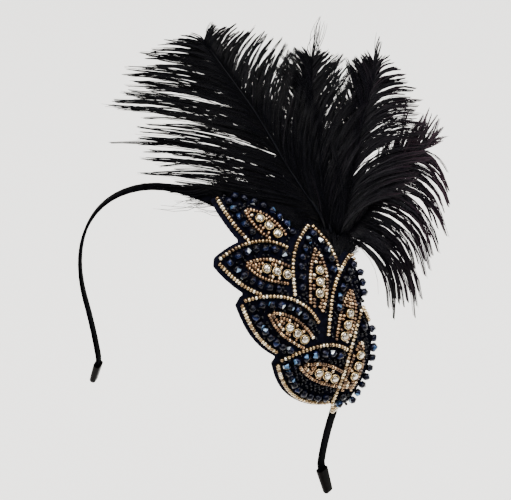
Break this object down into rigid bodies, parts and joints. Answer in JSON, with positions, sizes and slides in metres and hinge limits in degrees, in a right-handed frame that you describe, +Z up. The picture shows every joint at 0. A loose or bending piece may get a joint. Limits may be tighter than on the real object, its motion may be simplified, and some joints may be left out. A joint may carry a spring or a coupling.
{
  "type": "feather headband",
  "caption": "Narrow satin headband with a beaded leaf-spray applique down its left side and a fan of black ostrich plumes standing up behind it.",
  "frame": {"origin": "on the inner face of the band at the crown, midway between its two long edges, where it rests on the head", "axes": "+X towards the wearer's left, the side with the applique; -Y the way that the wearer faces; +Z up"},
  "size_m": [0.1531, 0.1281, 0.1989],
  "materials": {
    "satin": "black satin ribbon wound over a flat spring-steel band",
    "end_cap": "satin dark brown-black moulded cap",
    "felt": "matte black-navy felt",
    "gold_beads": "silver-lined gold glass seed beads, sewn in rows",
    "copper_beads": "metallic copper-gold glass seed beads, sewn in rows",
    "cut_beads": "faceted midnight-blue and black glass beads on felt",
    "crystal": "clear champagne rhinestones with a foiled back, cut table and facets",
    "ostrich": "soft black dyed ostrich barbs with a blue sheen"
  },
  "bodies": {
    "root": {"band": "satin", "tip_left": "end_cap", "tip_right": "end_cap", "backing": "felt", "outline_1": "gold_beads", "outline_2": "gold_beads", "outline_3": "gold_beads", "outline_4": "gold_beads", "outline_5": "gold_beads", "outline_6": "gold_beads", "outline_7": "gold_beads", "heart_1": "copper_beads", "heart_2": "copper_beads", "heart_3": "copper_beads", "heart_4": "copper_beads", "heart_5": "copper_beads", "heart_6": "copper_beads", "heart_7": "copper_beads", "field_1": "cut_beads", "field_2": "cut_beads", "field_3": "cut_beads", "field_4": "cut_beads", "field_5": "cut_beads", "field_6": "cut_beads", "field_7": "cut_beads", "stone_1_1": "crystal", "stone_1_2": "crystal", "stone_1_3": "crystal", "stone_2_1": "crystal", "stone_2_2": "crystal", "stone_2_3": "crystal", "stone_3_1": "crystal", "stone_3_2": "crystal", "stone_3_3": "crystal", "stone_4_1": "crystal", "stone_4_2": "crystal", "stone_4_3": "crystal", "stone_5_1": "crystal", "stone_5_2": "crystal", "stone_5_3": "crystal", "stone_6_1": "crystal", "stone_6_2": "crystal", "stone_6_3": "crystal", "stone_7_1": "crystal", "stone_7_2": "crystal", "stone_7_3": "crystal", "feather_1": "ostrich", "feather_2": "ostrich", "feather_3": "ostrich", "feather_4": "ostrich"}
  },
  "joints": []
}
